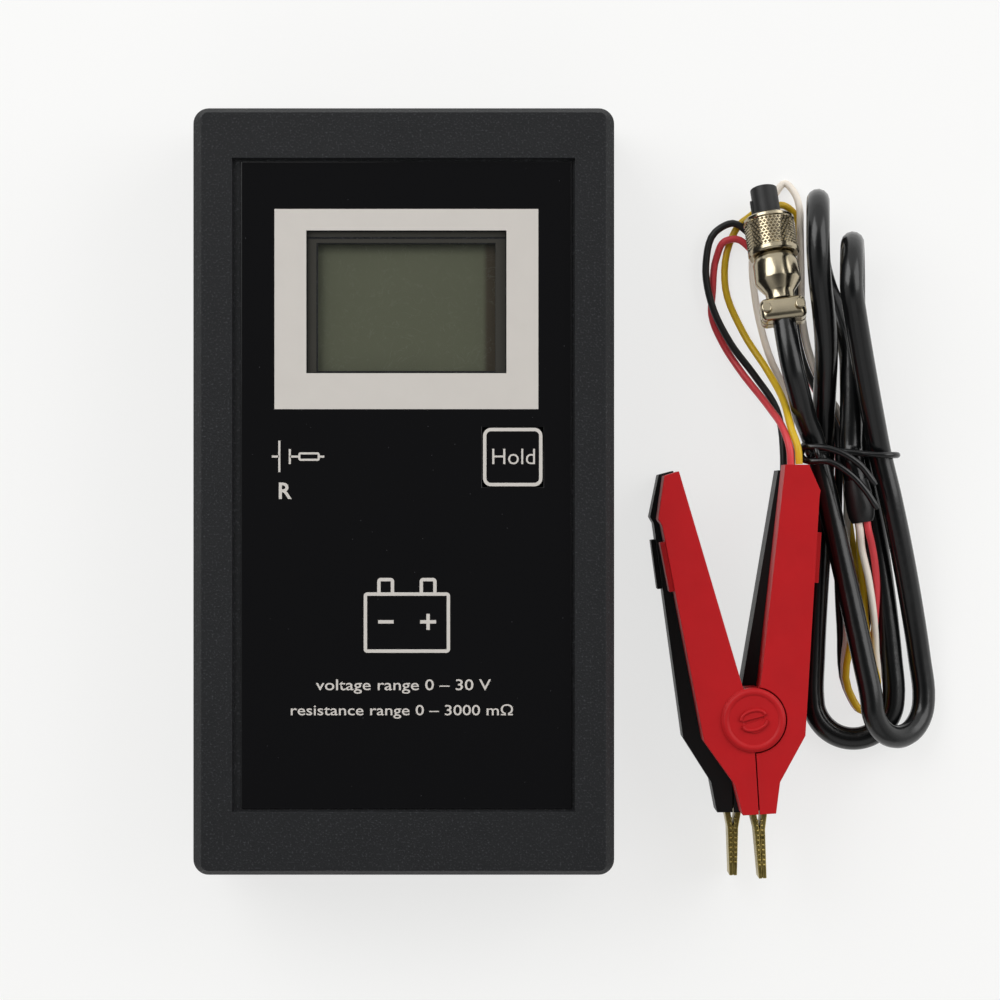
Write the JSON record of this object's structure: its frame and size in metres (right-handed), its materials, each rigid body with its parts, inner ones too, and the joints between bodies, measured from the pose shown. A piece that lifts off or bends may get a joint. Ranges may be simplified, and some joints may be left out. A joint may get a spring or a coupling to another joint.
{
  "type": "battery tester",
  "caption": "Handheld battery tester with a display, a hold key and a screw-lock input socket, and its tied lead set with a locking plug, a breakout sleeve and spring-loaded clips.",
  "frame": {"origin": "middle of the meter's back face, on the table", "axes": "+Z out of the meter's face, +Y towards the display end, +X to the right of the display; the lead set lies on the same table to the right"},
  "size_m": [0.1522, 0.1562, 0.032],
  "materials": {
    "case_plastic": "fine spark texture",
    "gloss_film": "glossy",
    "clear_window": "polished",
    "display_glass": "satin",
    "white_plastic": "moulded",
    "black_plastic": "moulded",
    "contact_rubber": "matte",
    "circuit_board": "satin",
    "blue_can": "satin",
    "cell_can": "satin",
    "foam": "matte",
    "steel": "plated",
    "nickel": "nickel plate, warm",
    "brass": "aged plate",
    "black_pvc": "smooth",
    "white_wire": "smooth",
    "red_wire": "smooth",
    "yellow_wire": "smooth",
    "clip_red": "satin",
    "clip_black": "satin"
  },
  "bodies": {
    "tester": {"front_case": "case_plastic", "rear_case": "case_plastic", "end_panel": "case_plastic", "graphic_overlay": "gloss_film", "display_window": "clear_window", "tact_switch": "steel", "lcd_glass": "display_glass", "lcd_holder": "white_plastic", "lcd_contact_strips": "contact_rubber", "lcd_backlight": "white_plastic", "main_pcb": "circuit_board", "mcu_chip": "black_plastic", "analog_chips": "black_plastic", "pcb_capacitors": "blue_can", "pcb_header": "white_plastic", "pcb_screws": "steel", "socket_shell": "nickel", "socket_insert": "black_plastic", "socket_pins": "brass", "socket_nut": "nickel", "socket_harness": "red_wire", "power_switch_body": "steel", "battery_9v": "cell_can", "battery_snap": "black_plastic", "battery_leads": "red_wire", "battery_pad": "foam", "case_screws": "steel", "plug_insert": "black_plastic", "plug_pins": "brass", "plug_shell": "nickel", "cable_clamp": "nickel", "clamp_screws": "steel", "lead_cable": "black_pvc", "breakout_sleeve": "black_pvc", "cable_tie": "black_pvc", "wire_white": "white_wire", "wire_red": "red_wire", "wire_yellow": "yellow_wire", "wire_black": "black_pvc", "red_clip_fixed_lever": "clip_red", "red_clip_pin": "clip_red", "red_clip_spring": "steel", "red_clip_fixed_jaw": "brass", "black_clip_fixed_lever": "clip_black", "black_clip_pin": "clip_black", "black_clip_spring": "steel", "black_clip_fixed_jaw": "brass"},
    "key": {"hold_key": "gloss_film"},
    "plunger": {"tact_plunger": "black_plastic"},
    "slider": {"power_switch_slider": "black_plastic"},
    "door": {"battery_door": "case_plastic"},
    "plug_nut": {"coupling_nut": "nickel"},
    "red_lever": {"red_clip_moving_lever": "clip_red", "red_clip_moving_jaw": "brass"},
    "black_lever": {"black_clip_moving_lever": "clip_black", "black_clip_moving_jaw": "brass"}
  },
  "joints": [
    {"name": "hold_key", "type": "slide", "parent": "tester", "child": "key", "axis": [0, 0, -1], "range_m": [0, 0.0004], "stiffness_N_per_m": 400},
    {"name": "tact_plunger", "type": "slide", "parent": "tester", "child": "plunger", "axis": [0, 0, -1], "range_m": [0, 0.0004], "stiffness_N_per_m": 200},
    {"name": "power_switch", "type": "slide", "parent": "tester", "child": "slider", "axis": [1, 0, 0], "range_m": [0, 0.004]},
    {"name": "battery_door", "type": "slide", "parent": "tester", "child": "door", "axis": [0, -1, 0], "range_m": [0, 0.036]},
    {"name": "coupling_nut", "type": "hinge", "parent": "tester", "child": "plug_nut", "pos_m": [0.07542, 0.05262, 0.00857], "axis": [0.1208, -0.9433, 0.309], "continuous": true},
    {"name": "red_clip", "type": "hinge", "parent": "tester", "child": "red_lever", "pos_m": [0.0708, -0.0464, 0.0171], "axis": [0, 0, -1], "range_deg": [0, 18], "stiffness_Nm_per_rad": 0.6, "springref_deg": -6.88, "deforming": ["red_clip_spring"]},
    {"name": "black_clip", "type": "hinge", "parent": "tester", "child": "black_lever", "pos_m": [0.0674, -0.047, 0.0055], "axis": [0, 0, -1], "range_deg": [0, 18], "stiffness_Nm_per_rad": 0.6, "springref_deg": -6.88, "deforming": ["black_clip_spring"]}
  ],
  "couplings": [
    {"joint": "tact_plunger", "follows": "hold_key", "ratio": 1}
  ]
}
